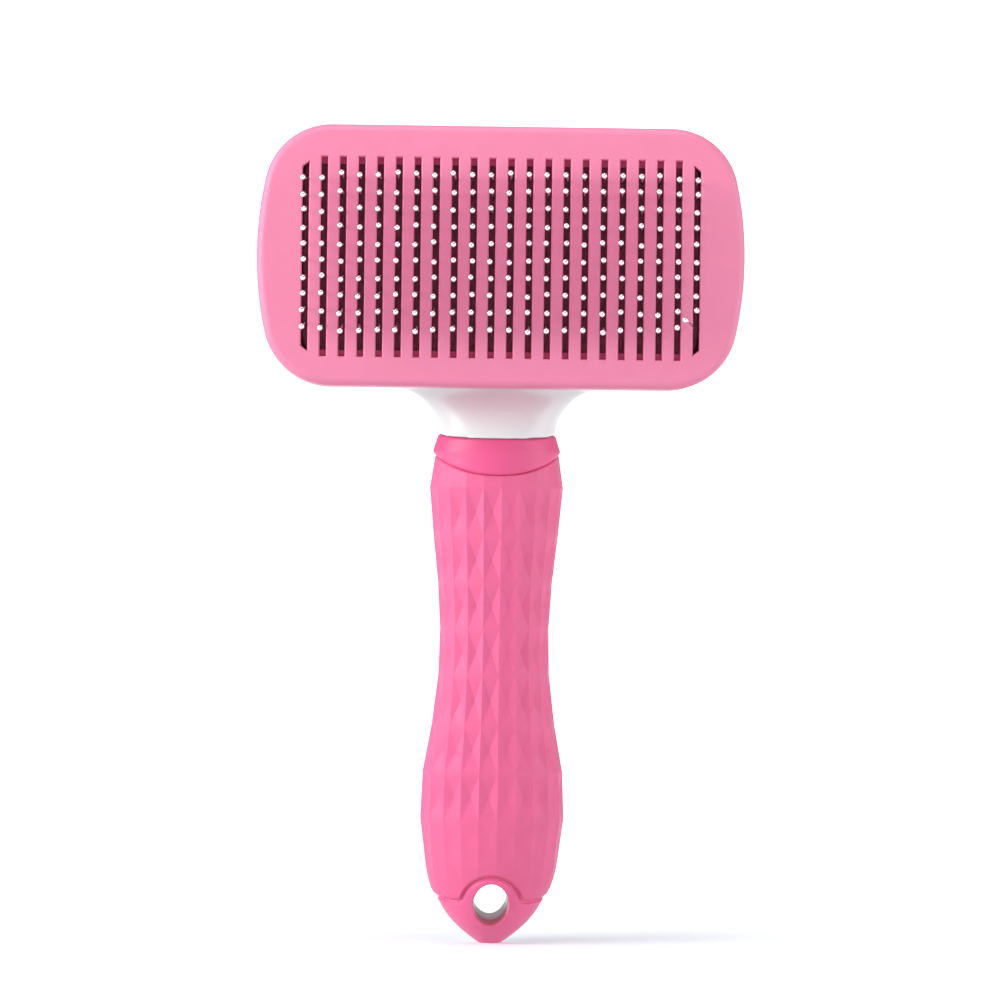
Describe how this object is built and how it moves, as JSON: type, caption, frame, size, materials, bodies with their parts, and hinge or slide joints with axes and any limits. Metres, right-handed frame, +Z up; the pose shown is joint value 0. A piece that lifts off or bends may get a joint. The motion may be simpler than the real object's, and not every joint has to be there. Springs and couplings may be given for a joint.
{
  "type": "bristle brush",
  "caption": "Self-cleaning pet slicker brush: wire pins with ball tips stand in a slotted face plate that a sprung button on the back pushes out to shed the hair",
  "frame": {"origin": "bottom centre of the upright brush: the flat end of the handle is at z = 0, and x = y = 0 is the middle of the bounding box", "axes": "+Z runs up the handle to the head, -Y is the way the pins and the slotted face point, and X is across the head"},
  "size_m": [0.115, 0.0555, 0.1954],
  "materials": {
    "plate_pink": "smooth moulded, satin",
    "button_pink": "smooth moulded, satin",
    "cap_pink": "smooth moulded, satin",
    "grip_rubber": "soft-touch, pressed facets",
    "collar_rubber": "smooth soft-touch",
    "body_white": "fine satin",
    "pad_rubber": "dull cushion rubber",
    "board_grey": "plain moulded",
    "pin_steel": "drawn wire with white ball tips",
    "hardware_steel": "zinc plated"
  },
  "bodies": {
    "brush_body": {"head_shell": "body_white", "pin_base": "board_grey", "pin_pad": "pad_rubber", "pin_column_01": "pin_steel", "pin_column_02": "pin_steel", "pin_column_03": "pin_steel", "pin_column_04": "pin_steel", "pin_column_05": "pin_steel", "pin_column_06": "pin_steel", "pin_column_07": "pin_steel", "pin_column_08": "pin_steel", "pin_column_09": "pin_steel", "pin_column_10": "pin_steel", "pin_column_11": "pin_steel", "pin_column_12": "pin_steel", "pin_column_13": "pin_steel", "pin_column_14": "pin_steel", "pin_column_15": "pin_steel", "pin_column_16": "pin_steel", "pin_column_17": "pin_steel", "pin_column_18": "pin_steel", "pin_column_19": "pin_steel", "pin_column_20": "pin_steel", "pin_column_21": "pin_steel", "pin_column_22": "pin_steel", "base_screw_upper_left": "hardware_steel", "base_screw_upper_right": "hardware_steel", "base_screw_lower_left": "hardware_steel", "base_screw_lower_right": "hardware_steel", "neck_screw_left": "hardware_steel", "neck_screw_right": "hardware_steel", "handle_core": "body_white", "grip_sleeve": "grip_rubber", "collar_ring": "collar_rubber", "end_cap": "cap_pink"},
    "ejector": {"face_plate": "plate_pink", "push_button": "button_pink", "push_yoke": "body_white", "plate_screw_left": "hardware_steel", "plate_screw_right": "hardware_steel", "button_screw_left": "hardware_steel", "button_screw_right": "hardware_steel", "return_spring_left": "hardware_steel", "return_spring_right": "hardware_steel"}
  },
  "joints": [
    {"name": "button_press", "type": "slide", "parent": "brush_body", "child": "ejector", "axis": [0, -1, 0], "range_m": [0, 0.009], "stiffness_N_per_m": 450, "springref_m": -0.006, "deforming": ["return_spring_left", "return_spring_right"]}
  ]
}
